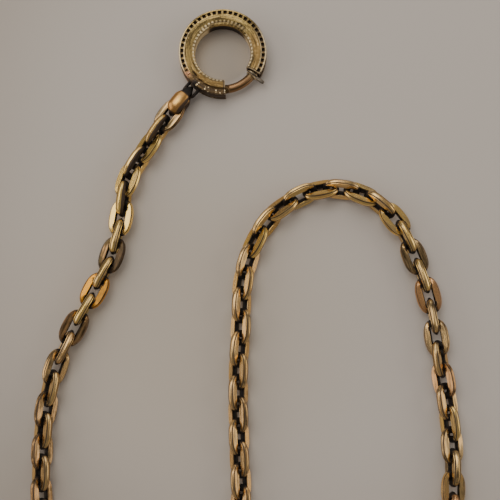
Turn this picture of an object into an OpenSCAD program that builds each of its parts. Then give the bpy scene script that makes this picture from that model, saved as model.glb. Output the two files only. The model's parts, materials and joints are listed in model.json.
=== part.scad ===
// Watch chain: a trace chain of filed oval links, with a bolt ring for the
// watch at one end and a bar for the waistcoat buttonhole at the other.
// It lies on a table in two bights. Sizes are in millimetres, +Z is up, and
// the origin is on the table below the middle of the whole chain.

/* [Link] */
// Outside length of a link
link_len = 6.6; // [6.4:0.05:6.6]
// Outside width of a link
link_w = 4.3; // [4.1:0.1:4.4]
// Thickness of a link's long sides, from face to face
link_t = 1.25; // [1.15:0.05:1.3]
// Thickness of a link at its two ends
link_end_t = 0.8; // [0.75:0.05:0.9]
// Thickness of the first link, a plump one, at its middle
plump_t = 1.8; // [1.6:0.1:1.8]
// Length of the hole in a link
hole_len = 4.35; // [4.25:0.05:4.4]
// Width of the hole in a link
hole_w = 1.9; // [1.85:0.05:2]
// Width of the bevel filed along a link's outer edges
link_bevel = 0.3; // [0.2:0.05:0.35]
// Height of the plain edge left between a link's two bevels
link_edge = 0.3; // [0.2:0.05:0.4]

/* [Bolt ring case] */
// Outside radius of the bolt ring
case_r = 7.85; // [7.8:0.05:8]
// Radius of the hole that the watch hangs in
bore_r = 5; // [4.9:0.05:5.05]
// Height of the case, from face to face
case_h = 3.5; // [3.4:0.1:3.6]
// Inner radius of the flat faces, where the sides of the hole start to slope
face_r = 5.3; // [5.2:0.05:5.5]
// Height of the straight wall in the hole
bore_wall = 2.2; // [2:0.1:2.4]
// Angle at which the case begins, counted anticlockwise from +X
case_start = -32; // [-33:0.5:-31]
// Angle at which the case ends
case_end = 274; // [270:1:275]
// Radius of the hollow in the case
hollow_r = 1.15; // [1.13:0.01:1.16]

/* [Milled rim] */
// Notches in a whole turn of the rim
notch_turn = 47; // [40:1:54]
// Radius of the circle through the middle of the notches
notch_ring_r = 7.25; // [7.2:0.05:7.35]
// Side of a notch
notch_w = 0.55; // [0.4:0.05:0.6]
// Depth of a notch
notch_depth = 0.3; // [0.2:0.05:0.35]

/* [Eye of the bolt ring] */
// Angle at which the eye stands
eye_angle = 229.5; // [228:0.5:231]
// Distance from the middle of the ring to the middle of the eye's bar
eye_reach = 9.8; // [9.75:0.05:9.85]
// Width of the eye, along the rim
eye_w = 2.9; // [2.8:0.1:3]
// Width of the eye's wire
eye_wire = 0.55; // [0.5:0.05:0.6]
// Thickness of the eye, up and down
eye_h = 0.6; // [0.5:0.05:0.65]
// Height of the eye's middle above the case's lower face
eye_mid = 1.9; // [1.8:0.05:2.1]

/* [Bolt] */
// Radius of the circle that the bolt is bent to
bolt_ring_r = 6.5; // [6.45:0.05:6.55]
// Radius of the bolt's wire
bolt_r = 0.82; // [0.75:0.01:0.85]
// Radius of the collar that the thumb piece stands on
collar_r = 1.05; // [1:0.01:1.05]
// Distance from the middle of the ring to the tip of the thumb piece
thumb_reach = 9.4; // [9:0.1:9.8]
// Thickness of the thumb piece
thumb_t = 0.8; // [0.5:0.05:0.85]
// Height of the thumb piece
thumb_h = 0.8; // [0.6:0.05:0.85]
// Angle through which the bolt draws back
bolt_travel = 60; // [56:1:60]

/* [Bar] */
// Length of the bar
bar_len = 24; // [20:1:24]
// Radius of the bar
bar_r = 1.15; // [1:0.05:1.2]
// Radius of the collar at the bar's middle
bar_collar_r = 1.5; // [1.4:0.05:1.6]
// Radius of the circle through the wire of the bar's eye
bar_eye_ring_r = 1.8; // [1.75:0.05:1.85]
// Radius of the wire of the bar's eye
bar_eye_r = 0.55; // [0.5:0.05:0.58]

/* [Hidden] */
$fn = 64;

// Where the middle of the bolt ring lies
RING = [-9.3, 44.6];
case_mid = case_h / 2;

// Where the bar lies, and how far its eye is lifted by the last link
BAR = [30.1, -41.5];
bar_tilt = 11;

// Links in each of the chain's two lengths
first_length = 35;
second_length = 35;

// Share of a link's half length up to which it keeps its thickness
thin_from = 0.5;
plump_thin_from = 0.35;

// Columns: x, y, roll. One row for every second link, laid from the bolt
// ring down the first side. Roll is the turn of a link about the chain's own
// line: at 0 it lies flat, and the links between stand at right angles to it.
FIRST_SIDE = [
    [-10.60, 43.30,   0],
    [-14.60, 38.40,   4],
    [-18.79, 33.21,  16],
    [-22.58, 27.52,  32],
    [-26.03, 21.53,  22],
    [-27.11, 14.75,   6],
    [-28.62,  8.14,   0],
    [-31.52,  1.87,   0],
    [-35.00, -4.60, -14],
    [-38.00, -11.40, -30],
    [-39.60, -18.60, -42],
    [-40.10, -25.70, -45],
    [-40.00, -33.00, -45],
];

// The plain half turn between the two sides: middle, radius, the angle of
// its first row and the step between rows
TURN_MIDDLE = [-23.0, -33.4];
turn_r = 17;
turn_first = 204;
turn_step = 25.4;
turn_rows = 7;
turn_roll = -45;

// The second side: up the middle, over the arch and down to the bar
SECOND_SIDE = [
    [-6.2, -27.0, -45],
    [-6.4, -19.5, -45],
    [-6.4, -12.0, -45],
    [-6.0,  -4.4, -45],
    [-5.6,   3.3, -45],
    [-3.5,  10.6, -45],
    [ 1.2,  16.6, -45],
    [ 8.1,  19.8, -43],
    [15.3,  19.0, -32],
    [21.1,  14.5, -12],
    [24.4,   7.9,   0],
    [26.7,   1.1,   2],
    [28.0,  -6.3,  19],
    [29.1, -13.6,  40],
    [30.0, -21.0,  61],
    [30.3, -28.4,  78],
    [30.1, -35.7,  87],
    [29.9, -43.0,  90],
    [29.8, -50.3,  90],
];

ROUTE = concat(
    FIRST_SIDE,
    [for (k = [0:turn_rows - 1])
        let (a = turn_first + k * turn_step)
        [TURN_MIDDLE.x + turn_r * cos(a), TURN_MIDDLE.y + turn_r * sin(a), turn_roll]],
    SECOND_SIDE
);

// A quarter of a link's outline and of its hole, as shares of half the
// length and half the width, from the end round to the long side
LINK_QUARTER = [[1, 0.3], [0.88, 0.6], [0.62, 0.86], [0.25, 1]];
HOLE_QUARTER = [[1, 0.7], [0.85, 1]];

// The four quarters of an outline, anticlockwise, from one quarter's shares
function outline(quarter, half_len, half_w) =
    let (q = [for (p = quarter) [p.x * half_len, p.y * half_w]])
    let (back = [for (i = [len(q) - 1:-1:0]) q[i]])
    concat(
        q,
        [for (p = back) [-p.x, p.y]],
        [for (p = q) [-p.x, -p.y]],
        [for (p = back) [p.x, -p.y]]
    );

// A smooth curve through b and c, which a and d lie before and after
function smooth(a, b, c, d, f) =
    b + f / 2 * ((c - a) + f * ((2 * a - 5 * b + 4 * c - d) + f * (3 * (b - c) + d - a)));

// Place and roll of a link by its number, with numbers between links too
function on_route(n) =
    let (u = n / 2 + 1)
    let (k = floor(u))
    smooth(ROUTE[k - 1], ROUTE[k], ROUTE[k + 1], ROUTE[k + 2], u - k);

// How far a link with this roll reaches below the chain's line
function reach_down(roll) =
    let (s = abs(sin(roll)))
    let (c = abs(cos(roll)))
    max(
        s * link_w / 2 + c * link_edge / 2,
        s * (link_w / 2 - link_bevel) + c * link_t / 2
    );

// Height of the chain's line above the table
function line_height(roll) = max(reach_down(roll), reach_down(roll + 90));

// One link at the origin: long along X, flat faces up and down, its outer
// edges filed to a bevel and its ends filed thinner than its sides. It keeps
// its thickness up to a share of its half length
module link(thick, thick_share) {
    intersection() {
        linear_extrude(height = thick, center = true)
            difference() {
                polygon(outline(LINK_QUARTER, link_len / 2, link_w / 2));
                polygon(outline(HOLE_QUARTER, hole_len / 2, hole_w / 2));
            }
        rotate([90, 0, 90])
            linear_extrude(height = link_len + 1, center = true)
                polygon(outline(
                    [[1, link_edge / thick], [1 - 2 * link_bevel / link_w, 1]],
                    link_w / 2, thick / 2
                ));
        rotate([90, 0, 0])
            linear_extrude(height = link_w + 1, center = true)
                polygon(outline(
                    [[1, link_end_t / thick], [thick_share, 1]],
                    link_len / 2, thick / 2
                ));
    }
}

// The links numbered from first to last, each turned a quarter from the next
module chain(first, last) {
    for (n = [first:last]) {
        here = on_route(n);
        ahead = on_route(n + 0.5);
        behind = on_route(n - 0.5);
        heading = atan2(ahead.y - behind.y, ahead.x - behind.x);
        translate([here.x, here.y, line_height(here.z)])
            rotate([0, 0, heading])
                rotate([here.z + 90 * (n % 2), 0, 0])
                    if (n == 1) link(plump_t, plump_thin_from);
                    else link(link_t, thin_from);
    }
}

// The length of chain next to the bolt ring
module chain_ring_side() {
    color("goldenrod") chain(1, first_length);
}

// The length of chain next to the bar
module chain_bar_side() {
    color("darkgoldenrod") chain(first_length + 1, first_length + second_length);
}

// Half of the case's section, as distance from the ring's middle and height
module case_section() {
    rim = 0.12;
    low = (case_h - bore_wall) / 2;
    polygon([
        [face_r, 0],
        [case_r - rim, 0],
        [case_r, rim],
        [case_r, case_h - rim],
        [case_r - rim, case_h],
        [face_r, case_h],
        [bore_r, case_h - low],
        [bore_r, low],
    ]);
}

// A round wire or bore bent about the ring's middle, between two angles
module bent_round(ring_r, r, from, to) {
    rotate([0, 0, from])
        rotate_extrude(angle = to - from, $fn = 96)
            translate([ring_r, case_mid])
                circle(r, $fn = 32);
}

// The flat eye that is soldered to the case
module case_eye() {
    inner_w = eye_w - 2 * eye_wire;
    outer_end = eye_reach + eye_wire / 2;
    inner_end = eye_reach - eye_wire / 2;
    corner = 0.5;
    rotate([0, 0, eye_angle])
        translate([0, 0, eye_mid - eye_h / 2])
            linear_extrude(height = eye_h)
                difference() {
                    union() {
                        translate([bolt_ring_r + hollow_r, -eye_w / 2])
                            square([outer_end - corner - bolt_ring_r - hollow_r, eye_w]);
                        translate([outer_end - 2 * corner, corner - eye_w / 2])
                            square([2 * corner, eye_w - 2 * corner]);
                        for (side = [-1, 1])
                            translate([outer_end - corner, side * (eye_w / 2 - corner)])
                                circle(corner);
                    }
                    translate([case_r, -inner_w / 2])
                        square([inner_end - case_r, inner_w]);
                }
}

// The case: a bored ring with milled rims, hollow inside, open on one side
// for the bolt, and slotted so that the thumb piece can slide
module ring_case() {
    play = 0.12;
    slot_h = thumb_h + 2 * play;
    slot_end = case_start + bolt_travel + 2;
    pocket_r = bolt_r + play;
    pocket_len = 9;
    notch_step = 360 / notch_turn;
    notch_count = floor((case_end - case_start) / notch_step);
    color("darkkhaki")
        translate([RING.x, RING.y, 0]) {
            difference() {
                union() {
                    rotate([0, 0, case_start])
                        rotate_extrude(angle = case_end - case_start, $fn = 96)
                            case_section();
                    case_eye();
                }
                bent_round(bolt_ring_r, hollow_r, case_start - 1, case_end - pocket_len - 2);
                bent_round(bolt_ring_r, pocket_r, case_end - pocket_len, case_end + 1);
                rotate([0, 0, case_start - 1])
                    rotate_extrude(angle = slot_end - case_start + 1, $fn = 96)
                        translate([bolt_ring_r, case_mid - slot_h / 2])
                            square([case_r, slot_h]);
                for (k = [0:notch_count - 1])
                    rotate([0, 0, case_start + (k + 0.5) * notch_step])
                        for (z = [notch_depth / 2, case_h - notch_depth / 2])
                            translate([notch_ring_r, 0, z])
                                cube([notch_w, notch_w, notch_depth + 0.01], center = true);
            }
        }
}

// The bolt: a bent wire that closes the ring, with a collar and thumb piece
module ring_bolt() {
    tip = case_end - 360 - 6;
    tail = case_start + 18;
    collar_start = case_start - 7;
    collar_end = case_start - 1;
    thumb_angle = case_start - 3;
    color("peru")
        translate([RING.x, RING.y, 0])
            union() {
                bent_round(bolt_ring_r, bolt_r, tip, tail);
                bent_round(bolt_ring_r, collar_r, collar_start, collar_end);
                rotate([0, 0, thumb_angle])
                    translate([bolt_ring_r, -thumb_t / 2, case_mid - thumb_h / 2])
                        cube([thumb_reach - bolt_ring_r, thumb_t, thumb_h]);
            }
}

// The bar: one piece with its eye, which the last link lifts a little
module t_bar() {
    collar_len = 2.4;
    stem_len = bar_eye_ring_r + bar_r;
    color("goldenrod")
        translate([BAR.x, BAR.y, bar_collar_r])
            union() {
                rotate([0, 90, 0])
                    cylinder(r = bar_r, h = bar_len - 2 * bar_r, center = true);
                for (side = [-1, 1])
                    translate([side * (bar_len / 2 - bar_r), 0, 0])
                        sphere(bar_r);
                rotate([0, 90, 0])
                    cylinder(r = bar_collar_r, h = collar_len, center = true);
                rotate([bar_tilt, 0, 0])
                    translate([0, stem_len, 0])
                        rotate_extrude($fn = 64)
                            translate([bar_eye_ring_r, 0])
                                circle(bar_eye_r, $fn = 32);
            }
}

ring_case();
ring_bolt();
chain_ring_side();
chain_bar_side();
t_bar();
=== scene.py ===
"""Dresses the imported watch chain: filed gold links, a milled bolt ring and a plain bar.

Lengths are in metres, and MM turns millimetres into them. Each new piece is a
surface worked out with numpy: a grid of points, closed round its section.
"""
import functools
import json
import math

import bpy
import bmesh
import numpy as np
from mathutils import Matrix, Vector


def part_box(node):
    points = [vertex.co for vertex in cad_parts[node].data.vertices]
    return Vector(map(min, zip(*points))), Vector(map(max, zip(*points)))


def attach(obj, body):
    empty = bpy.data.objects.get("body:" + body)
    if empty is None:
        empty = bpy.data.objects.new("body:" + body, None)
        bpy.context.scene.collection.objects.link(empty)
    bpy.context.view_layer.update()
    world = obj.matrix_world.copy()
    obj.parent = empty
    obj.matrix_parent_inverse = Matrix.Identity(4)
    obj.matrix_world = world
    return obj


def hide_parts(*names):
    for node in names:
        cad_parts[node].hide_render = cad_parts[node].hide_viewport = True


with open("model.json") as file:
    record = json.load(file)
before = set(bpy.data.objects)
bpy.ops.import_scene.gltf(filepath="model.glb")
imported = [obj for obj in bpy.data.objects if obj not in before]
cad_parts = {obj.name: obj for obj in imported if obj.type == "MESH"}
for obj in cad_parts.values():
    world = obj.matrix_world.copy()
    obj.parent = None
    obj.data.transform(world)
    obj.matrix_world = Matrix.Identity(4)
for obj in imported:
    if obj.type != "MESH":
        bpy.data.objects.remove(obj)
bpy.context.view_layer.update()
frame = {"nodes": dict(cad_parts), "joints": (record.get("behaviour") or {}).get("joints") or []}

MM = 0.001
SEED = 11

# The ring's middle, and the box of the bar and its eye
RING_MIDDLE = np.array(frame["joints"][0]["pos_m"])
BAR_LOW, BAR_HIGH = (np.array(corner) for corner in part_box("t_bar"))
BAR_MIDDLE = (BAR_LOW + BAR_HIGH) / 2

# The line inside the case that the hollow and the bolt follow, as a distance
# from the ring's middle
BOLT_LINE = 6.5 * MM

# Angles round the ring, anticlockwise from +X, in degrees
CASE_START, CASE_END = -32.0, 274.0
EYE_ANGLE = 229.5
BOLT_TIP, BOLT_TAIL = -92.0, -14.0
COLLAR_START, COLLAR_END = -39.0, -33.0
THUMB_ANGLE = -35.8
SLOT_END = 30.0


def smooth_step(low, high, value):
    """0 below low, 1 above high, and the cubic 3 t^2 - 2 t^3 between them."""
    t = np.clip((value - low) / (high - low), 0, 1)
    return t * t * (3 - 2 * t)


def fall(low, high, value):
    """1 below low and 0 above high: what a smooth step leaves of 1."""
    return 1 - smooth_step(low, high, value)


def band(start, full, fading, end, value):
    """0 up to the start, 1 from full to fading, and 0 again from the end."""
    return smooth_step(start, full, value) * fall(fading, end, value)


def bell(middle, width, value):
    """The bell exp(-((v - middle) / width)^2), which is 1 at its middle."""
    return np.exp(-((value - middle) / width) ** 2)


def most(*layers):
    """The greatest of several layers at each point."""
    return functools.reduce(np.maximum, layers)


# Meshes


# Points closer together than this are made one, and steeper edges than this stay sharp
WELD = 0.002 * MM
SHARP_EDGE = math.radians(32)


def grid_faces(rows, columns, close_rows):
    """The quads of a grid that is closed across its columns, and along its rows if asked."""
    i = np.arange(rows if close_rows else rows - 1)[:, None]
    j = np.arange(columns)[None, :]
    next_i, next_j = (i + 1) % rows, (j + 1) % columns
    around = (i, j), (next_i, j), (next_i, next_j), (i, next_j)
    corners = [row * columns + column for row, column in around]
    return np.stack(np.broadcast_arrays(*corners), axis=-1).reshape(-1, 4)


def mark(mesh, name, values):
    """A number or a vector kept at each point, for the finishes to read."""
    values = np.ascontiguousarray(values, np.float32).ravel()
    is_vector = values.size > len(mesh.vertices)
    kind, field = ("FLOAT_VECTOR", "vector") if is_vector else ("FLOAT", "value")
    mesh.attributes.new(name, kind, "POINT").data.foreach_set(field, values)


def piece(name, surface, body, node, finish, marks=None, weld=WELD):
    """A mesh object from points and quads, riding on a body and standing for a CAD node."""
    points, faces = surface
    mesh = bpy.data.meshes.new(name)
    mesh.vertices.add(len(points))
    mesh.vertices.foreach_set("co", np.ascontiguousarray(points, np.float32).ravel())
    mesh.loops.add(faces.size)
    mesh.loops.foreach_set("vertex_index", np.ascontiguousarray(faces, np.int32).ravel())
    mesh.polygons.add(len(faces))
    mesh.polygons.foreach_set("loop_start", np.arange(len(faces), dtype=np.int32) * 4)
    mesh.update(calc_edges=True)
    mesh.validate()
    for label, values in (marks or {}).items():
        mark(mesh, label, values)
    work = bmesh.new()
    work.from_mesh(mesh)
    bmesh.ops.remove_doubles(work, verts=work.verts, dist=weld)
    bmesh.ops.recalc_face_normals(work, faces=work.faces)
    work.to_mesh(mesh)
    work.free()
    mesh.shade_smooth()
    mesh.set_sharp_from_angle(angle=SHARP_EDGE)
    mesh.materials.append(finish)
    thing = bpy.data.objects.new(name, mesh)
    bpy.context.scene.collection.objects.link(thing)
    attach(thing, body)
    if node:
        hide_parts(node)


# Links


def loose_solids(node):
    """Each loose solid of a CAD node: the points of a label spread along the triangles."""
    mesh = frame["nodes"][node].data
    points = np.empty(len(mesh.vertices) * 3, np.float32)
    mesh.vertices.foreach_get("co", points)
    points, index = np.unique(points.reshape(-1, 3).round(7), axis=0, return_inverse=True)
    mesh.calc_loop_triangles()
    corners = np.empty(len(mesh.loop_triangles) * 3, np.int32)
    mesh.loop_triangles.foreach_get("vertices", corners)
    corners = index.ravel()[corners].reshape(-1, 3)
    label = np.arange(len(points))
    while True:
        least = label[corners].min(axis=1)
        spread = label.copy()
        np.minimum.at(spread, corners.ravel(), np.repeat(least, 3))
        if (spread == label).all():
            return [points[label == one] for one in np.unique(label)]
        label = spread


def link_places(node, start):
    """Middle and axes of each link in order from a start, and the half sizes of a link.

    The axes come from the spread of each solid's points, and each next link is
    the nearest that is left.
    """
    solids = loose_solids(node)
    boxes = np.array([(points.max(axis=0) + points.min(axis=0)) / 2 for points in solids])
    order, here, left = [], start, list(range(len(solids)))
    while left:
        near = min(left, key=lambda k: np.linalg.norm(boxes[k] - here))
        left.remove(near)
        order.append(near)
        here = boxes[near]
    axes, halves = [], []
    for k in order:
        points = solids[k]
        turned = np.linalg.svd(points - points.mean(axis=0), full_matrices=False)[2]
        if turned[2, 2] < 0:
            turned[2] *= -1
        turned[1] = np.cross(turned[2], turned[0])
        axes.append(turned)
        halves.append(np.abs((points - boxes[k]) @ turned.T).max(axis=0))
    return boxes[order], np.array(axes), np.median(halves, axis=0)


# A link's section from the middle of the hole's wall out to the middle of the
# outer edge: share of the way across the bar, and height as a share of half
# the thickness. The wall swells into the hole, the face is filed flat, and two
# bevels meet in a ridge
LINK_SECTION = np.array([
    [-0.13, 0.00],
    [-0.11, 0.36],
    [-0.05, 0.72],
    [0.00, 0.93],
    [0.03, 1.00],
    [0.27, 1.00],
    [0.50, 1.00],
    [0.73, 1.00],
    [0.81, 0.74],
    [0.90, 0.44],
    [0.985, 0.18],
    [1.00, 0.12],
])
LINK_STEPS = 60
# The hole's length and width, as shares of the link's
HOLE_SHARE = (0.67, 0.425)
# The powers of the outer oval and the hole's, and how much rounder a plump link's are
OUTER_POWER, HOLE_POWER = 2.45, 5.0
OUTER_ROUNDER, HOLE_ROUNDER = 0.3, 2.0
# Height of a link's thin ends, and how far its face sinks towards them
LINK_END = 0.64
FACE_SINKS = 0.25
# Where the filed face begins, as a share of half the width
FILED_FROM = (0.36, 0.44)

# Along the chain: link number, how bright it is painted, which is partly its own tone and wear and
# partly painted light and shade, and how much copper shows
LINK_WEAR_AND_SHADE = np.array([
    [1, 0.38, 0.40],
    [2, 0.30, 0.18],
    [3, 1.00, 0.30],
    [4, 1.12, 0.15],
    [5, 1.00, 0.20],
    [7, 1.02, 0.05],
    [8, 1.05, 0.00],
    [9, 0.82, 0.00],
    [10, -0.08, 0.12],
    [11, 0.85, 0.25],
    [12, 0.12, 1.60],
    [13, 0.92, 0.10],
    [14, 0.10, 0.30],
    [15, 0.48, 0.25],
    [17, 0.64, 0.25],
    [18, 0.28, 0.25],
    [19, 0.64, 0.27],
    [20, 0.20, 0.27],
    [21, 0.58, 0.27],
    [22, 0.18, 0.27],
    [34, 0.50, 0.35],
    [44, 0.55, 0.25],
    [46, 0.68, 0.30],
    [47, 0.48, 0.32],
    [48, 1.10, 0.10],
    [49, 0.70, 0.30],
    [52, 0.96, 0.25],
    [53, 0.52, 0.30],
    [54, 0.82, 0.15],
    [55, 0.60, 0.15],
    [56, 0.82, 0.15],
    [57, 0.76, 0.05],
    [58, 0.08, 0.00],
    [59, 0.70, 0.00],
    [60, 0.32, 0.75],
    [61, 0.40, 0.10],
    [62, 0.45, 0.18],
    [63, 0.62, 0.25],
    [64, 0.08, 0.45],
    [66, 0.76, 0.05],
    [67, 0.34, 0.08],
    [68, 0.60, 0.08],
    [69, 0.58, 0.30],
    [70, 0.40, 0.95],
])
WEAR_SPREAD = 0.06

# Painted shade on a link's upper side where it faces +X, and how dark it is, for the links where
# that shows
SHADED_SIDE = {3: 0.85, 5: 0.95, 7: 0.78, 10: 0.45, 12: 0.40}

# Each link's own tilt in degrees: the spread of its roll and of its pitch, and
# the most that either may be
ROLL_SPREAD, PITCH_SPREAD, MOST_TILT = 2.4, 1.3, 4.5
# Rolls of the first link, which brings it upright, and of the second, which lays it flatter
FIRST_ROLLS = np.radians([9.0, 9.0])
# How far the first link's bulge lies from its middle, as a share of half its
# length, and half the height of the painted highlight along the top of its bulge
EGG, CROWN_HIGHLIGHT_HALF = 0.22, 0.34 * MM
# How far the grain of one link may lie from the next one's
GRAIN_SHIFT = 50 * MM
LINK_WELD = 0.0005 * MM


def oval(angle, half_length, half_width, power):
    """The curve |x/a|^p + |y/b|^p = 1, with cos and sin raised to 2/p."""
    c, s = np.cos(angle), np.sin(angle)
    x = half_length * np.sign(c) * np.abs(c) ** (2 / power)
    y = half_width * np.sign(s) * np.abs(s) ** (2 / power)
    return np.stack([x, y], axis=-1)


def link_surface(half, plump=0.0, lean=0.0):
    """One link about the origin: a section carried between its hole's oval and its outer one.

    Beside the hole the section is the filed one, so each long side shows a flat
    face with a straight inner edge and a curved outer one. Past the hole it
    turns into a half round and sinks to the thinner end. A plump link is round
    everywhere and thick in the middle, and egg shaped if it leans to one end.
    Returns the points and how dark each one is painted: tarnish, and painted shade on the hole's
    wall, the bevels, the ends and between the links.
    """
    angle = (np.arange(LINK_STEPS) + 0.5) * math.tau / LINK_STEPS
    outer = oval(angle, *half[:2], OUTER_POWER - OUTER_ROUNDER * plump)
    outer[:, 1] *= 1 + lean * outer[:, 0] / half[0]
    hole = oval(angle, *(half[:2] * HOLE_SHARE), HOLE_POWER - HOLE_ROUNDER * plump)
    least = LINK_SECTION[0, 0]
    even = least + (1 - least) * (1 - np.cos(np.linspace(0, math.pi, len(LINK_SECTION)))) / 2
    share = LINK_SECTION[:, 0] * (1 - plump) + even * plump
    share = np.concatenate([share, share[:0:-1]])
    flat = np.concatenate([LINK_SECTION[:, 1], -LINK_SECTION[:0:-1, 1]])
    wire = (share - least) / (1 - least) * 2 - 1
    round_lift = np.sign(flat) * np.sqrt(np.clip(1 - wire ** 2, 0, 1))

    across = hole[:, None] + share[None, :, None] * (outer - hole)[:, None]
    along = np.abs(across[..., 0]) / half[0]
    beside = np.abs(across[..., 1]) / half[1]
    from_bulge = np.abs(across[..., 0] / half[0] - lean)
    filed = smooth_step(*FILED_FROM, beside) * (1 - plump)
    swell = 0.9 * fall(0.3, 0.75, from_bulge) + 0.3 * fall(0.75, 1.0, from_bulge)
    face_high = 1 - FACE_SINKS * smooth_step(0.55, 1.0, along) + plump * swell
    thick = fall(0.45, 0.75, along) * (1 - plump) + fall(0.7, 1.0, along) * plump
    round_high = LINK_END + (face_high - LINK_END) * thick
    lift = filed * flat * face_high + (1 - filed) * round_lift * round_high
    points = np.concatenate([across, (lift * half[2])[..., None]], axis=-1)

    # Tarnish and painted shade: darker on the hole's wall, on the bevels, at the thin ends, where
    # the next links cross, and in the nooks at the hole's ends; a plump link only at its ends
    wall = fall(-0.03, 0.03, share)
    bevel = 0.62 * bell(0.80, 0.05, share) + 0.25 * smooth_step(0.73, 0.78, share)
    ends = smooth_step(0.80, 0.95, along)
    between = fall(0.37, 0.43, beside) * smooth_step(0.55, 0.7, along)
    nook = 0.95 * smooth_step(0.28, 0.5, along) * fall(0.12, 0.36, share)
    tarnish_and_shade = most(ends, between, wall, bevel, nook)
    return points, tarnish_and_shade * (1 - plump) + plump * smooth_step(0.7, 0.95, along)


def first_link(half, ring_side):
    """The plump first link: its points, its tarnish and painted shade, and its painted highlight.

    Its bulge lies away from the ring, whose side is +1 or -1 along the link. The
    end in the ring's eye is painted black as shade under the eye, and a painted highlight runs
    along the top of the bulge.
    """
    surface, grime = link_surface(half, 1.0, -EGG * ring_side)
    along = surface[..., 0] / half[0]
    # Painted shade: the end in the eye is painted black
    grime = most(grime, 1.3 * smooth_step(0.26, 0.48, ring_side * along))
    from_bulge = np.abs(along + EGG * ring_side)
    # A painted highlight along the top of the bulge
    crown_highlight = bell(0, CROWN_HIGHLIGHT_HALF, surface[..., 2]) * fall(0.10, 0.42, from_bulge)
    return surface.reshape(-1, 3), grime.ravel(), crown_highlight.ravel()


def tilted(local, roll, pitch):
    """Each link's points, turned about its long line by its roll, then across it by its pitch."""
    x, y, z = np.moveaxis(local, -1, 0)
    roll, pitch = roll[:, None], pitch[:, None]
    y, z = y * np.cos(roll) - z * np.sin(roll), y * np.sin(roll) + z * np.cos(roll)
    x, z = x * np.cos(pitch) + z * np.sin(pitch), z * np.cos(pitch) - x * np.sin(pitch)
    return np.stack([x, y, z], axis=-1)


def right_and_above(points, middles, axes):
    """How far each point lies to the +X side of its link's ridge, and above the link's middle.

    The ridge is at the mean of the points in the upper half of the link's height.
    """
    along_x, along_y, level = axes[:, 0, 0], axes[:, 0, 1], np.zeros(len(axes))
    right = np.stack([np.abs(along_y), -along_x * np.sign(along_y), level], axis=1)
    to_right = np.einsum("kpi,ki->kp", points - middles[:, None], right)
    above = points[..., 2] - middles[:, None, 2]
    upper = above > 0.5 * above.max(axis=1)[:, None]
    ridge = (to_right * upper).sum(axis=1) / upper.sum(axis=1)
    return to_right - ridge[:, None], above


def chain_length(name, node, start, first, step, finish):
    """Every link of one CAD node, as one mesh, each with its own slight tilt, wear, and painted
    light and shade.
    """
    middles, axes, half = link_places(node, start)
    count = len(middles)
    number = first + step * np.arange(count)
    filed, tarnish_and_shade = link_surface(half)
    rows, columns = filed.shape[:2]
    size = rows * columns
    chance = np.random.default_rng(SEED + count + len(name))
    tilt = chance.normal(0, [[ROLL_SPREAD], [PITCH_SPREAD]], (2, count))
    roll, pitch = np.radians(tilt.clip(-MOST_TILT, MOST_TILT))
    local = np.repeat(filed.reshape(1, -1, 3), count, axis=0)
    grime = np.repeat(tarnish_and_shade.reshape(1, -1), count, axis=0)
    if first == 1:
        local[0], grime[0], crown_highlight = first_link(half, np.sign((start - middles[0]) @ axes[0, 0]))
        roll[:2] = FIRST_ROLLS
    points = middles[:, None] + np.einsum("kpi,kij->kpj", tilted(local, roll, pitch), axes)
    points[..., 2] -= np.minimum(points[..., 2].min(axis=1), 0)[:, None]
    one = grid_faces(rows, columns, True)
    faces = (one[None] + (np.arange(count) * size)[:, None, None]).reshape(-1, 4)

    # Painted shade on the +X side of some links, above their middles
    to_right, above = right_and_above(points, middles, axes)
    darkened = np.array([SHADED_SIDE.get(int(link), 0.0) for link in number])
    side_shade = smooth_step(0.02 * MM, 0.32 * MM, to_right) * smooth_step(0.0, 0.35 * MM, above)
    grime = most(grime, darkened[:, None] * side_shade)
    shift = chance.uniform(-GRAIN_SHIFT, GRAIN_SHIFT, (count, 3))
    wear_number, tone_and_shade, wear_copper = LINK_WEAR_AND_SHADE.T
    bright = np.interp(number, wear_number, tone_and_shade) + chance.normal(0, WEAR_SPREAD, count)
    copper = np.interp(number, wear_number, wear_copper)
    bright, copper = (np.repeat(wear[:, None], size, axis=1) for wear in (bright, copper))
    # The first link's painted highlight, kept free of copper, and painted shade on its +X side
    if first == 1:
        bright[0] += 0.75 * crown_highlight
        copper[0] *= 1 - crown_highlight
        grime[0] = most(grime[0], 0.7 * smooth_step(0.5 * MM, 1.1 * MM, to_right[0]))
    marks = {
        "grain": (local + shift[:, None]).reshape(-1, 3),
        "grime": grime.ravel(),
        "bright": bright.ravel(),
        "copper": copper.ravel(),
        "smooth": np.repeat(number == 1, size),
    }
    surface = points.reshape(-1, 3), faces
    piece(name, surface, "chain", node, finish, marks, LINK_WELD)


# Case of the bolt ring


# How many notches, ticks and beads there would be in a full turn
NOTCHES, TICKS, BEADS = 47, 50, 50
NOTCH_PERIOD = 360 / NOTCHES
# A notch's floor and its mouth, as shares of a period either side of its middle
NOTCH_FLOOR, NOTCH_MOUTH = 0.295, 0.33
# Steps round the outside and round the hollow, and the least one beside a notch's edge
CASE_STEP, HOLLOW_STEP, LEAST_STEP = 0.6, 4.0, 0.12

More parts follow.
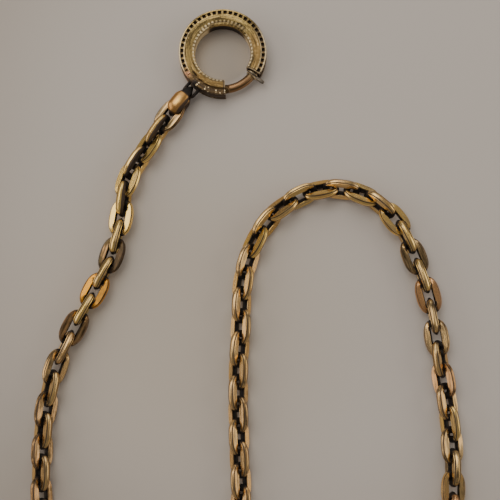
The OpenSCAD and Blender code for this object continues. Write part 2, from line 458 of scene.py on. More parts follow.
# The case's section above its middle, from the outer wall over the face to the
# hole: distance from the ring's middle, height above the case's middle, drop
# inside a notch, drop inside a tick, rise on a bead and swell of the side's
# dots, all in millimetres
CASE_SECTION = np.array([
    [7.85, 0.52, 0.00, 0.00, 0.00, 0.00],
    [7.80, 0.60, 0.00, 0.00, 0.00, 0.00],
    [7.76, 0.76, 0.00, 0.00, 0.00, 0.02],
    [7.75, 0.95, 0.00, 0.00, 0.00, 0.09],
    [7.76, 1.15, 0.00, 0.00, 0.00, 0.09],
    [7.78, 1.30, 0.00, 0.00, 0.00, 0.02],
    [7.83, 1.38, 0.00, 0.00, 0.00, 0.00],
    [7.85, 1.50, 0.00, 0.00, 0.00, 0.00],
    [7.84, 1.64, 0.00, 0.00, 0.00, 0.00],
    [7.80, 1.70, 0.00, 0.00, 0.00, 0.00],
    [7.73, 1.74, 0.00, 0.00, 0.00, 0.00],
    [7.62, 1.74, 0.00, 0.00, 0.00, 0.00],
    [7.55, 1.71, 0.04, 0.00, 0.00, 0.00],
    [7.53, 1.70, 0.50, 0.00, 0.00, 0.00],
    [7.28, 1.71, 0.58, 0.00, 0.00, 0.00],
    [7.03, 1.72, 0.50, 0.00, 0.00, 0.00],
    [7.01, 1.72, 0.04, 0.00, 0.00, 0.00],
    [6.90, 1.75, 0.00, 0.00, 0.00, 0.00],
    [6.80, 1.75, 0.00, 0.00, 0.00, 0.00],
    [6.72, 1.72, 0.00, 0.00, 0.00, 0.00],
    [6.55, 1.70, 0.00, 0.00, 0.00, 0.00],
    [6.38, 1.68, 0.00, 0.00, 0.00, 0.00],
    [6.20, 1.64, 0.00, 0.00, 0.00, 0.00],
    [6.05, 1.59, 0.00, 0.00, 0.00, 0.00],
    [5.95, 1.54, 0.00, 0.00, 0.00, 0.00],
    [5.88, 1.53, 0.00, 0.07, 0.00, 0.00],
    [5.77, 1.50, 0.00, 0.10, 0.00, 0.00],
    [5.66, 1.46, 0.00, 0.10, 0.00, 0.00],
    [5.56, 1.42, 0.00, 0.10, 0.00, 0.00],
    [5.46, 1.38, 0.00, 0.07, 0.00, 0.00],
    [5.41, 1.33, 0.00, 0.00, 0.03, 0.00],
    [5.37, 1.29, 0.00, 0.00, 0.09, 0.00],
    [5.31, 1.28, 0.00, 0.00, 0.13, 0.00],
    [5.23, 1.26, 0.00, 0.00, 0.14, 0.00],
    [5.15, 1.23, 0.00, 0.00, 0.10, 0.00],
    [5.08, 1.17, 0.00, 0.00, 0.03, 0.00],
    [5.03, 1.02, 0.00, 0.00, 0.00, 0.00],
    [5.00, 0.60, 0.00, 0.00, 0.00, 0.00],
    [5.00, 0.00, 0.00, 0.00, 0.00, 0.00],
])
HOLLOW_R = 1.15 * MM
SLOT_HALF = 0.52 * MM
# Depth of the worn groove, and height of the trail of beads, at their most
GROOVE_DEPTH, TRAIL_HEIGHT = 0.24 * MM, 0.08 * MM
# Where the groove starts and how far it runs outwards, and where the trail
# starts and how far it runs inwards, in millimetres from the ring's middle
GROOVE_R, GROOVE_SHIFT = 6.25, 0.58
TRAIL_R, TRAIL_SHIFT = 5.74, 0.42
# Directions on the case: where the painted shade is darkest, where the ticks are cut,
# where the beads get painted shade, where painted light is brightest, and where it is rubbed
# through to copper
SHADED_AT, TICKS_AT, BEADS_SHADED_AT, PAINTED_LIGHT_AT, RUBBED_AT = 82, 92, 78, 135, 213


def ring_point(radius, height, degrees):
    """A point at a distance, a height above the case's middle and an angle."""
    turn = np.radians(degrees)
    x = RING_MIDDLE[0] + radius * np.cos(turn)
    y = RING_MIDDLE[1] + radius * np.sin(turn)
    return np.stack(np.broadcast_arrays(x, y, RING_MIDDLE[2] + height), axis=-1)


def facing(degrees, low, high, turn):
    """1 round one direction and 0 away from it: a smooth step of cos(turn - direction)."""
    return smooth_step(low, high, np.cos(np.radians(turn - degrees)))


def case_section():
    """The case's whole section, from the slot's upper edge round to its lower one, in metres.

    It is the table above and its mirror image below. Its first point stands
    twice, once as the slot's edge and once for the slot's wall.
    """
    upper = CASE_SECTION * MM
    upper = np.concatenate([upper[:1] * [1, 1, 0, 0, 0, 0], upper])
    return np.concatenate([upper, upper[-2::-1] * [1, -1, 1, 1, 1, 1]])


def hollow_section(section):
    """The hollow's circle, point for point inside the section, with the slot's mouth in it."""
    middle = np.array([BOLT_LINE, 0.0])
    ray = section[:, :2] - middle
    hollow = middle + HOLLOW_R * ray / np.linalg.norm(ray, axis=1)[:, None]
    mouth = BOLT_LINE + math.sqrt(HOLLOW_R ** 2 - SLOT_HALF ** 2)
    hollow[:2] = mouth, SLOT_HALF
    hollow[-2:] = mouth, -SLOT_HALF
    return hollow


def case_angles():
    """The rows round the case: the notches' edges, the slot's end, and even steps between."""
    edges_in_period = 0.5 + np.array([-NOTCH_MOUTH, -NOTCH_FLOOR, NOTCH_FLOOR, NOTCH_MOUTH])
    periods = np.arange(CASE_START, CASE_END, NOTCH_PERIOD)
    edges = (periods[:, None] + NOTCH_PERIOD * edges_in_period).ravel()
    edges = np.append(edges[edges < CASE_END - 0.2], SLOT_END)
    even = np.arange(CASE_START, CASE_END + 0.01, CASE_STEP)
    even = even[np.abs(even[:, None] - edges[None]).min(axis=1) > LEAST_STEP]
    return np.unique(np.concatenate([even, edges, [CASE_START, CASE_END]]))


class CaseWork:
    """The work, the wear and the painted light and shade on the case: layers from 0 to 1 over its
    angles and its section.

    Rows of marks are |sin| or |cos| of pi n t / 360 to a power, where t is the
    angle from the case's start and n is how many marks a full turn has.
    Distances from the ring's middle and heights are in millimetres here.
    """

    def __init__(self, turn, section):
        from_start = turn - CASE_START
        half_turns = np.pi * from_start / 360
        self.turn = turn
        self.out, self.up = section[None, :, 0] / MM, section[None, :, 1] / MM
        self.face = smooth_step(1.1, 1.4, np.abs(self.up))
        # Painted light and shade by direction: darker towards the top, the left and right sides
        # warmer and darker with bright rims, the beads bright except towards the top
        self.north = facing(SHADED_AT, 0.70, 0.88, turn)
        self.sides = smooth_step(0.55, 0.9, np.cos(np.radians(turn)) ** 2)
        self.beside = 1 - facing(BEADS_SHADED_AT, 0.66, 0.84, turn)

        self.worn = smooth_step(196, 226, turn)
        groove_r = GROOVE_R + GROOVE_SHIFT * smooth_step(200, 262, turn)
        self.groove = bell(groove_r, 0.12, self.out) * smooth_step(198, 214, turn) * self.face
        self.outside = smooth_step(groove_r, groove_r + 0.12, self.out) * self.worn
        self.rubbed = bell(RUBBED_AT, 5.5, turn) * smooth_step(6.85, 7.05, self.out) * self.face

        from_notch = np.abs(from_start / NOTCH_PERIOD % 1 - 0.5)
        self.notch = fall(NOTCH_FLOOR, NOTCH_MOUTH, from_notch)
        self.track = band(6.99, 7.03, 7.53, 7.57, self.out) * self.face
        self.ticked = facing(TICKS_AT, 0.60, 0.86, turn)
        self.tick = np.abs(np.cos(half_turns * TICKS)) ** 2 * self.ticked
        self.tick_row = band(5.40, 5.48, 5.88, 5.96, self.out) * self.face
        self.bead = np.abs(np.sin(half_turns * BEADS)) ** 1.1
        self.dots = np.abs(np.sin(half_turns * NOTCHES)) ** 1.5
        trail_r = TRAIL_R - TRAIL_SHIFT * smooth_step(106, 150, turn)
        self.trail = bell(trail_r, 0.13, self.out) * band(100, 112, 166, 186, turn) * self.face
        self.hole_wall = fall(5.0, 5.12, self.out) * fall(0.5, 1.25, self.up)
        self.lip = smooth_step(CASE_END - 1.6, CASE_END - 1.2, turn)
        self.lip = self.lip + fall(CASE_START + 1.2, CASE_START + 1.6, turn)

    def surface(self, section):
        """Distance out and height of each point.

        The section sinks at notches and ticks, rises on beads, swells at the
        side's dots, and is plain at the two lips. The worn groove cuts it, and
        the notches outside the groove are nearly rubbed away.
        """
        out, up, notch_drop, tick_drop, bead_rise, dot_swell = section.T[:, None]
        left = self.notch * (1 - 0.93 * self.worn)
        sunk = (notch_drop * left + tick_drop * self.tick - bead_rise * self.bead) * (1 - self.lip)
        sunk = sunk + GROOVE_DEPTH * self.groove - TRAIL_HEIGHT * self.trail * self.bead
        return out + dot_swell * self.dots, up - np.where(up < 0, -1, 1) * sunk

    def grime(self, section):
        """Darkening: in the notches, the ticks, the worn groove and outside it, between the
        trail's beads and round the eye, and painted shade on the hole's wall and the inner slope
        towards the top.

        It also lies between the side's dots as painted shade on the outer wall, and as dark lines
        at the case's two ends.
        """
        wall_dots = self.dots * (section[None, :, 5] > 0.05 * MM)
        side_wall = smooth_step(7.6, 7.75, self.out) * (1 - self.face)
        end_lines = bell(CASE_START + 2.2, 0.7, self.turn) + bell(CASE_END - 2.2, 0.7, self.turn)
        grime = most(
            self.track * (0.36 + 0.5 * self.notch) * (1 - self.worn),
            self.outside * 0.47,
            self.groove * 0.62,
            # Painted shade towards the top
            self.hole_wall * self.north,
            self.north * 0.42 * fall(5.3, 6.2, self.out) * self.face,
            self.north * 0.8 * fall(5.15, 5.42, self.out) * self.face,
            self.tick_row * self.tick * 0.42,
            # Painted shade on the outer wall between its dots
            side_wall * (0.7 - 0.6 * wall_dots),
            bell(EYE_ANGLE, 7, self.turn) * smooth_step(6.9, 7.3, self.out),
            end_lines * 0.8,
            self.lip * 0.35,
        )
        between_beads = 0.62 * self.trail * fall(0.2, 0.7, self.bead)
        return most(grime * (1 - self.trail * self.bead), between_beads) * (1 - 0.6 * self.rubbed)

    def pale(self):
        """Painted highlights, partly rubbed polish: the rim and the land inside the track at the
        left and right, the beads except towards the top, the trail, the hole's wall at the sides,
        the lips, and between the ticks.
        """
        on_sides = self.face * self.sides * (1 - self.worn)
        beads = (0.25 + 0.75 * self.bead) * self.beside * (1 - 0.25 * self.worn)
        return most(
            bell(7.70, 0.10, self.out) * on_sides,
            bell(6.94, 0.07, self.out) * on_sides * 0.55,
            bell(5.24, 0.15, self.out) * beads,
            self.hole_wall * self.beside * 0.9,
            self.trail * smooth_step(0.35, 0.8, self.bead),
            self.lip * self.face * 0.22,
            self.ticked * self.tick_row * (1 - self.tick) ** 2 * 0.4,
        )

    def speckle(self):
        """Where wear has left bright crumbs: outside the groove, and on the beads near the eye."""
        upon_face = smooth_step(1.0, 1.3, np.abs(self.up))
        bead_row = band(5.02, 5.08, 5.55, 5.8, self.out) * self.face
        return most(
            self.outside * smooth_step(226, 234, self.turn) * upon_face,
            0.75 * bead_row * band(186, 200, 238, 250, self.turn),
        )


def case_skin():
    """The case as one closed skin: its outer section carried round, and back through the hollow.

    The two columns at the slot's edges stand for its walls: inside the slot's
    angles they drop to the hollow, and the quads between them are left out.
    Returns the points, the faces and the marks that the finish reads.
    """
    section, angles = case_section(), case_angles()
    hollow = hollow_section(section)
    columns, turn = len(section), angles[:, None]
    slot_row = int(np.argmin(np.abs(angles - SLOT_END)))
    work = CaseWork(turn, section)
    radius, height = work.surface(section)
    radius[:slot_row + 1, [0, -1]] = hollow[[0, -1], 0]
    height[:slot_row + 1, [0, -1]] = hollow[[0, -1], 1]
    back = np.concatenate([np.arange(CASE_END, SLOT_END, -HOLLOW_STEP), angles[slot_row::-1]])
    inner = ring_point(hollow[:, 0], hollow[:, 1], back[:, None])
    points = np.concatenate([ring_point(radius, height, turn), inner])

    faces = grid_faces(len(points), columns, True)
    row, column = np.divmod(np.arange(len(faces)), columns)
    in_slot = (row < slot_row) | (row >= len(angles) + np.argmax(back <= SLOT_END))
    faces = faces[~((column == columns - 1) & in_slot)]

    def skin(layer, inside=0.0):
        """A layer over the whole skin, with one value in the hollow."""
        outside = np.broadcast_to(layer, (len(angles), columns))
        return np.concatenate([outside, np.full((len(back), columns), inside)]).ravel()

    arc = np.radians(turn) * BOLT_LINE
    marks = {
        # Painted shade fills the hollow
        "grime": skin(work.grime(section), 1.0),
        "pale": skin(work.pale()),
        "copper": skin(work.rubbed),
        "speckle": skin(work.speckle()),
        # Painted shade warms and darkens the left and right sides; the worn part is warm too
        "warm": skin(most(work.sides, work.worn)),
        # Painted light and shade: lighter towards the upper left, darker towards the lower right
        "light": skin(0.5 + 0.5 * np.cos(np.radians(turn - PAINTED_LIGHT_AT))),
        "grain": np.stack([skin(arc), skin(radius), skin(height)], axis=1),
    }
    return points.reshape(-1, 3), faces, marks


# Half the eye's width, how far out it reaches and where it starts, the radius of
# its corners, and half its wire's width and height
EYE_HALF, EYE_REACH, EYE_ROOT, EYE_CORNER = 1.05 * MM, 9.75 * MM, 7.7 * MM, 0.5 * MM
EYE_WIRE = (0.27 * MM, 0.29 * MM)
EYE_WIRE_POWER, EYE_WIRE_STEPS = 3.2, 16
EYE_LIFT = 0.15 * MM


def eye_loop():
    """The eye: a rounded square section carried along two prongs and the bar between them."""
    bend = np.linspace(0, math.pi / 2, 8)
    out = EYE_REACH - EYE_CORNER * (1 - np.sin(bend))
    aside = -EYE_HALF + EYE_CORNER * (1 - np.cos(bend))
    corner = np.stack([out, aside], axis=1)
    roots = np.array([[EYE_ROOT, -EYE_HALF], [EYE_ROOT, EYE_HALF]])
    path = np.concatenate([roots[:1], corner, corner[::-1] * [1, -1], roots[1:]])
    ahead = np.gradient(path, axis=0)
    ahead /= np.linalg.norm(ahead, axis=1)[:, None]
    beside = np.stack([ahead[:, 1], -ahead[:, 0]], axis=1)
    spin = (np.arange(EYE_WIRE_STEPS) + 0.5) * math.tau / EYE_WIRE_STEPS
    square = oval(spin, *EYE_WIRE, EYE_WIRE_POWER)
    flat = path[:, None] + beside[:, None] * square[None, :, :1]
    up = np.broadcast_to(EYE_LIFT + square[:, 1], flat.shape[:2])
    start, end = (np.broadcast_to(point, (1, EYE_WIRE_STEPS, 2)) for point in roots)
    closed = np.full((1, EYE_WIRE_STEPS), EYE_LIFT)
    flat = np.concatenate([start, flat, end])
    up = np.concatenate([closed, up, closed])
    turn = math.radians(EYE_ANGLE)
    x = RING_MIDDLE[0] + flat[..., 0] * math.cos(turn) - flat[..., 1] * math.sin(turn)
    y = RING_MIDDLE[1] + flat[..., 0] * math.sin(turn) + flat[..., 1] * math.cos(turn)
    points = np.stack([x, y, RING_MIDDLE[2] + up], axis=-1)
    return points.reshape(-1, 3), grid_faces(len(flat), EYE_WIRE_STEPS, False)


# Bolt


WIRE_R, COLLAR_R = 0.82 * MM, 1.05 * MM
# Depth and step of the fine ribs on the wire, and of the rings on the collar
RIB_DEPTH, RIB_STEP = 0.055 * MM, 1.9
RING_DEPTH, RING_STEP = 0.06 * MM, 4.2
BOLT_STEPS, WIRE_STEPS = 160, 28
# How far each of the bolt's round ends reaches, in degrees
DOME_REACH = 3
# The thumb piece: its middle's distance, its half sizes outwards, along the ring
# and upwards, the power of its edges, and its steps
THUMB_R = 7.6 * MM
THUMB_HALF = (1.5 * MM, 0.3 * MM, 0.38 * MM)
THUMB_POWER, THUMB_STEPS = 0.4, (26, 40)


def rib_wave(degrees):
    """The cosine that makes the ribs, from the bolt's tip."""
    return np.cos((degrees - BOLT_TIP) * math.tau / RIB_STEP)


def ring_wave(degrees):
    """The cosine that makes the collar's rings."""
    return np.cos((degrees - COLLAR_START - 0.9) * math.tau / RING_STEP)


def dome(degrees_in):
    """A round end: sqrt(1 - (1 - t)^2), where t goes from 0 to 1 over the dome's reach."""
    return np.sqrt(np.clip(1 - (1 - degrees_in / DOME_REACH).clip(0, 1) ** 2, 0, 1))


def on_collar(before, within, degrees):
    """1 on the collar, fading from so far within each end to so far before it."""
    start, end = COLLAR_START, COLLAR_END
    return band(start - before, start + within, end - within, end + before, degrees)


def bolt_radius(degrees):
    """The bolt's radius: fine ribs at its far end, a collar of stacked rings, and domed ends."""
    ribs = rib_wave(degrees) * fall(-80.5, -78, degrees)
    wire = WIRE_R + RIB_DEPTH * (ribs - 1)
    collar = COLLAR_R + RING_DEPTH * (ring_wave(degrees) - 1)
    radius = wire + (collar - wire) * on_collar(0.1, 0.7, degrees)
    return radius * dome(degrees - BOLT_TIP) * dome(BOLT_TAIL - degrees)


def bolt_wire():
    """The bolt: a circle of its changing radius, carried along its line; and its marks."""
    degrees = BOLT_TIP + (BOLT_TAIL - BOLT_TIP) * np.linspace(0, 1, BOLT_STEPS)
    radius = bolt_radius(degrees)[:, None]
    spin = np.arange(WIRE_STEPS) * math.tau / WIRE_STEPS
    out, up = BOLT_LINE + radius * np.cos(spin), radius * np.sin(spin)
    points = ring_point(out, up, degrees[:, None]).reshape(-1, 3)
    along = np.repeat(degrees, WIRE_STEPS)
    collar = on_collar(0.3, 0.3, along)
    between_ribs = fall(-82, -77, along) * (0.72 - 0.28 * rib_wave(along))
    marks = {
        "grain": np.stack([along * 0.1 * MM, out.ravel(), points[:, 2]], axis=-1),
        # Darker between the ribs, and painted shade from where the bolt nears the case
        "grime": most(between_ribs, smooth_step(-46, -40, along) * 0.8),
        "grey": collar,
        # Painted highlights on the collar's rings
        "pale": collar * (0.5 + 0.5 * ring_wave(along)) ** 3 * 0.75,
    }
    return points, grid_faces(BOLT_STEPS, WIRE_STEPS, False), marks


def thumb_slab():
    """The thumb piece: |x|^n + |y|^n + |z|^n = 1, stretched to its half sizes; and its marks."""
    rows, columns = THUMB_STEPS
    lat = np.linspace(-math.pi / 2, math.pi / 2, rows)[:, None]
    lon = np.arange(columns)[None] * math.tau / columns

    def bent(value):
        """A sine or cosine with its size raised to the power of the edges."""
        return np.sign(value) * np.abs(value) ** THUMB_POWER

    x = THUMB_HALF[0] * bent(np.sin(lat)) * np.ones_like(lon)
    y = THUMB_HALF[1] * bent(np.cos(lat)) * bent(np.cos(lon))
    z = THUMB_HALF[2] * bent(np.cos(lat)) * bent(np.sin(lon))
    turn, radius = math.radians(THUMB_ANGLE), THUMB_R + x
    px = RING_MIDDLE[0] + radius * math.cos(turn) - y * math.sin(turn)
    py = RING_MIDDLE[1] + radius * math.sin(turn) + y * math.cos(turn)
    points = np.stack([px, py, RING_MIDDLE[2] + z], axis=-1).reshape(-1, 3)
    aside, beyond = np.abs(y).ravel(), np.hypot(radius, y).ravel()
    # Painted highlights along the thumb piece's edges, on its part near the collar
    on_edges = smooth_step(0.18 * MM, 0.28 * MM, aside) * fall(THUMB_R, THUMB_R + 0.8 * MM, beyond)
    marks = {
        "grain": points,
        "grime": np.zeros(len(points)),
        "grey": np.ones(len(points)),
        "pale": on_edges * 0.5,
    }
    return points, grid_faces(rows, columns, False), marks


# Bar


# The bar's outline from its middle out to its dome, in millimetres: how far
# along, and radius. The collar's ridge and band come first, then the plain bar
BAR_OUTLINE = np.array([
    [0.30, 1.50],
    [0.45, 1.36],
    [0.60, 1.42],
    [1.05, 1.42],
    [1.22, 1.35],
    [1.30, 1.18],
    [1.45, 1.15],
    [1.60, 1.15],
    [1.90, 1.15],
    [4.00, 1.15],
    [8.00, 1.15],
])
BAR_R, BAR_COLLAR_R = 1.15 * MM, 1.5 * MM
BAR_STEPS, DOME_STEPS = 48, 10
BAR_EYE_R, BAR_EYE_WIRE, BAR_EYE_TILT = 1.8 * MM, 0.55 * MM, math.radians(11)
BAR_EYE_STEPS, BAR_EYE_WIRE_STEPS = 64, 20
# Painted shade beside the collar: how far it lies from the bar's middle, how wide it
# is, and how far it reaches from the bar's far side towards the eye
BAR_SHADE_AT, BAR_SHADE_WIDTH, BAR_SHADE_REACH = 1.5 * MM, 0.18 * MM, 2.7 * MM


def turned_bar():
    """The bar: an outline turned about its own line, and its eye's wire round a tilted circle.

    Returns the marks too, which are the painted shade in the corners beside the collar.
    """
    half = (BAR_HIGH[0] - BAR_LOW[0]) / 2
    middle = np.array([BAR_MIDDLE[0], BAR_LOW[1] + BAR_COLLAR_R, BAR_COLLAR_R])
    bend = np.linspace(math.pi / 2, 0, DOME_STEPS)
    domed = np.stack([half - BAR_R * (1 - np.cos(bend)), BAR_R * np.sin(bend)], axis=1)
    outline = np.concatenate([BAR_OUTLINE * MM, domed])
    along, radius = np.concatenate([outline[::-1] * [-1, 1], outline]).T[:, :, None]
    spin = np.arange(BAR_STEPS) * math.tau / BAR_STEPS
    bar = np.stack([
        middle[0] + along * np.ones(BAR_STEPS),
        middle[1] + radius * np.cos(spin),
        middle[2] + radius * np.sin(spin),
    ], axis=-1).reshape(-1, 3)
    bar_faces = grid_faces(len(along), BAR_STEPS, False)

    round_ring = np.arange(BAR_EYE_STEPS)[:, None] * math.tau / BAR_EYE_STEPS
    round_wire = np.arange(BAR_EYE_WIRE_STEPS)[None] * math.tau / BAR_EYE_WIRE_STEPS
    out = BAR_EYE_R + BAR_EYE_WIRE * np.cos(round_wire)
    ahead = out * np.sin(round_ring) + BAR_EYE_R + BAR_R
    up = BAR_EYE_WIRE * np.sin(round_wire) * np.ones_like(round_ring)
    eye = np.stack([
        middle[0] + out * np.cos(round_ring),
        middle[1] + ahead * math.cos(BAR_EYE_TILT) - up * math.sin(BAR_EYE_TILT),
        middle[2] + ahead * math.sin(BAR_EYE_TILT) + up * math.cos(BAR_EYE_TILT),
    ], axis=-1).reshape(-1, 3)
    eye_faces = grid_faces(BAR_EYE_STEPS, BAR_EYE_WIRE_STEPS, True) + len(bar)

    points = np.concatenate([bar, eye])
    # Painted shade in the corners beside the collar, on the bar's far side
    from_collar = np.abs(points[:, 0] - BAR_MIDDLE[0])
    beside_bar = points[:, 1] < BAR_LOW[1] + BAR_SHADE_REACH
    corners = bell(BAR_SHADE_AT, BAR_SHADE_WIDTH, from_collar) * beside_bar
    return points, np.concatenate([bar_faces, eye_faces]), {"grime": corners}


# Finishes


class Value:
    """A socket in a finish, on which sums can be written."""

    def __init__(self, finish, socket):
        self.finish, self.socket = finish, socket

    def maths(self, operation, *values):
        return self.finish.node("ShaderNodeMath", {"operation": operation}, *values)

    def __add__(self, other): return self.maths("ADD", self, other)
    def __radd__(self, other): return self.maths("ADD", other, self)
    def __mul__(self, other): return self.maths("MULTIPLY", self, other)
    def __rmul__(self, other): return self.maths("MULTIPLY", other, self)
    def __sub__(self, other): return self.maths("SUBTRACT", self, other)
    def __rsub__(self, other): return self.maths("SUBTRACT", other, self)
    def most(self, other): return self.maths("MAXIMUM", self, other)
    def held(self): return self.finish.node("ShaderNodeClamp", {}, self)


class Finish:
    """A material whose nodes are made by one method."""

    def __init__(self, name):
        self.material = bpy.data.materials.new(name)
        self.material.use_nodes = True
        self.tree = self.material.node_tree
        self.shader = self.tree.nodes["Principled BSDF"]

    def node(self, kind, settings, *inputs, out=0, sockets=None, **named):
        """A node with its settings, then its sockets' values or links, by number or by name."""
        made = self.tree.nodes.new(kind)
        for key, value in settings.items():
            setattr(made, key, value)
        for key, value in {**dict(enumerate(inputs)), **(sockets or {}), **named}.items():
            self.feed(made.inputs[key], value)
        return Value(self, made.outputs[out])

    def feed(self, socket, value):
        if isinstance(value, Value):
            self.tree.links.new(value.socket, socket)
        else:
            socket.default_value = value

    def attribute(self, name, out="Fac"):
        return self.node("ShaderNodeAttribute", {"attribute_name": name}, out=out)

    def place(self):
        return self.node("ShaderNodeTexCoord", {}, out="Object")

    def distance(self, place, point):
        settings = {"operation": "DISTANCE"}
        return self.node("ShaderNodeVectorMath", settings, place, point, out="Value")

    def noise(self, place, scale, detail=3.0):
        """Noise with so many cells to the metre, or as many each way as a stretched place has."""
        return self.node(
            "ShaderNodeTexNoise", {},
            Vector=place, Scale=scale, Detail=detail, Roughness=NOISE_ROUGHNESS,
        )

    def strokes(self, place, scales, detail=3.0):
        """Noise drawn out along one way: fewer cells to the metre that way than the others."""
        stretched = self.node("ShaderNodeMapping", {}, Vector=place, Scale=scales)
        return self.noise(stretched, 1.0, detail)

    def range(self, value, low, high):
        """0 at low and 1 at high, with a smooth step between them; low may be the greater."""
        smooth = {"interpolation_type": "SMOOTHSTEP"}
        return self.node("ShaderNodeMapRange", smooth, value, low, high, 0.0, 1.0)

    def mix(self, share, one, other):
        """A colour between two: a Mix node takes them at sockets 6 and 7, and gives it at 2."""
        colours = {0: share, 6: one, 7: other}
        return self.node("ShaderNodeMix", {"data_type": "RGBA"}, out=2, sockets=colours)

    def bump(self, height, distance, strength):
        return self.node("ShaderNodeBump", {}, Strength=strength, Distance=distance, Height=height)

    def shade(self, **sockets):
        for name, value in sockets.items():
            self.feed(self.shader.inputs[name.replace("_", " ")], value)
        return self.material


BRIGHT_GOLD = (1.0, 0.68, 0.20, 1)
SOFT_GOLD = (0.88, 0.62, 0.26, 1)
GOLD = (0.69, 0.475, 0.205, 1)
OLIVE = (0.29, 0.197, 0.098, 1)
DARK_OLIVE = (0.075, 0.052, 0.024, 1)
COPPER = (0.64, 0.335, 0.14, 1)
ORANGE = (0.66, 0.30, 0.035, 1)
PINK_COPPER = (0.47, 0.235, 0.13, 1)
BOLT_BROWN = (0.42, 0.235, 0.115, 1)
BRASS = (0.40, 0.285, 0.095, 1)
# The case's sides in painted shade, and its upper left in painted light
WARM_BRASS = (0.34, 0.205, 0.066, 1)
LIT_SIDE_BRASS = (0.66, 0.47, 0.18, 1)
PALE_BRASS = (1.0, 0.80, 0.48, 1)
BROWN = (0.064, 0.039, 0.024, 1)
BLACK = (0.015, 0.0115, 0.009, 1)
STEEL = (0.20, 0.165, 0.125, 1)
DARK_STEEL = (0.085, 0.075, 0.065, 1)

# The sheet near the chain, and its painted shade far from it, at the left of the chain, and inside
# the ring, where it is the ring's painted shadow
PAPER = (0.620, 0.560, 0.504, 1)
FAR_SHADE_PAPER = (0.42, 0.362, 0.300, 1)
LEFT_SHADE_PAPER = (0.592, 0.521, 0.438, 1)
RING_SHADOW_PAPER = (0.43, 0.37, 0.30, 1)
# Places on the sheet, and the distances from each between which its colour turns
CHAIN_PLACE, CHAIN_REACH = (0.016, 0.022, 0.0), (0.050, 0.106)
LEFT_PLACE, LEFT_REACH = (-0.016, -0.004, 0.0), (0.042, 0.008)
RING_REACH = (0.0058, 0.0042)

# Cells to the metre along a file's strokes and across them
FILE_STROKES = (500, 9000, 9000)
LINK_STREAKS = (240, 2600, 2600)
CASE_LINES = (330, 2600, 2600)
BOLT_STREAKS = (200, 3600, 3600)
BAR_LINES = (500, 3600, 3600)

NOISE_ROUGHNESS = 0.55

# How deep the strokes and the milled lines are cut
FINE_CUT, COARSE_CUT = 0.02 * MM, 0.06 * MM


def filed_gold():
    """The links' gold: filed lengthwise, bright on the faces with painted light and the first
    link's painted highlight, brown and black between them with tarnish and painted shade.
    """
    f = Finish("filed_gold")
    grain, grime = f.attribute("grain", "Vector"), f.attribute("grime")
    bright, copper, smooth = f.attribute("bright"), f.attribute("copper"), f.attribute("smooth")
    strokes = f.strokes(grain, FILE_STROKES, 2.0)
    streak = f.strokes(grain, LINK_STREAKS)
    cloud = f.noise(grain, 420.0, 4.0)
    # How bright each link is painted, painted light and highlight included
    level = bright + (streak * 1.9 - 0.95) * (1.0 - smooth * 0.8) + cloud * 0.9 - 0.45
    body = f.mix(f.range(level, -0.15, 0.3), DARK_OLIVE, OLIVE)
    body = f.mix(f.range(level, 0.2, 0.6), body, GOLD)
    body = f.mix(f.range(level, 0.6, 1.0), body, BRIGHT_GOLD)
    body = f.mix(f.range(copper + cloud * 1.1 + streak * 0.9, 1.0, 1.75) * 0.85, body, COPPER)
    body = f.mix(f.range(copper + streak * 0.6, 1.3, 1.9).most(smooth * 0.35), body, ORANGE)
    # Tarnish and painted shade turn it brown and black, and less metallic
    darkened = f.range(grime + cloud * 0.5, 0.5, 0.95)
    body = f.mix(darkened, body, BROWN)
    body = f.mix(f.range(grime + cloud * 0.4, 0.95, 1.25), body, BLACK)
    return f.shade(
        Base_Color=body,
        Metallic=1.0 - 0.5 * darkened,
        Roughness=(0.17 + smooth * 0.05 + strokes * 0.16 + darkened * 0.3).held(),
        Normal=f.bump(strokes, FINE_CUT, 0.5),
    )


def case_brass():
    """The case's gold: brown in the milled work, coppery where worn, with painted highlights on
    its ridges and painted light and shade round it.
    """
    f = Finish("case_brass")
    place, grain = f.place(), f.attribute("grain", "Vector")
    grime, pale, copper = f.attribute("grime"), f.attribute("pale"), f.attribute("copper")
    speckle, warm, light = f.attribute("speckle"), f.attribute("warm"), f.attribute("light")
    cloud = f.noise(place, 260.0, 4.0)
    fine = f.noise(place, 2600.0)
    lines = f.strokes(grain, CASE_LINES, 4.0)
    # Painted light and shade: warmer and darker at the sides, lighter towards the upper left, dark
    # olive towards the lower right
    body = f.mix(warm, BRASS, WARM_BRASS)
    body = f.mix(f.range(light, 0.45, 0.95) * 0.75, body, LIT_SIDE_BRASS)
    body = f.mix(f.range(light, 0.78, 0.22) * 0.52, body, DARK_OLIVE)
    body = f.mix(f.range(lines + cloud * 0.4 + fine * 0.3, 0.80, 1.0) * 0.85, body, DARK_OLIVE)
    body = f.mix(f.range(lines + fine * 0.4, 0.66, 0.46) * 0.6, body, GOLD)
    # Painted highlights, partly rubbed polish
    body = f.mix(pale, body, PALE_BRASS)
    body = f.mix(copper * 0.9, body, PINK_COPPER)
    # Darkening to brown and black, partly painted shade
    darkened = f.range(grime + fine * 0.3, 0.2, 0.95)
    body = f.mix(darkened, body, BROWN)
    body = f.mix(f.range(grime + fine * 0.2, 0.9, 1.15), body, BLACK)
    cells = f.node("ShaderNodeTexVoronoi", {}, Vector=place, Scale=1900.0, out="Distance")
    grit = f.noise(place, 1300.0, 2.0)
    crumbs = f.range(cells, 0.36, 0.22) * f.range(grit, 0.42, 0.50) * speckle
    body = f.mix(crumbs, body, PALE_BRASS)
    return f.shade(
        Base_Color=body,
        # Less metallic where highlights are painted, so they stay bright
        Metallic=(1.0 - 0.45 * darkened - 0.75 * pale).held(),
        Roughness=(0.28 + fine * 0.2 + darkened * 0.2).held(),
        Normal=f.bump(lines + fine * 0.5, COARSE_CUT, 0.7),
    )


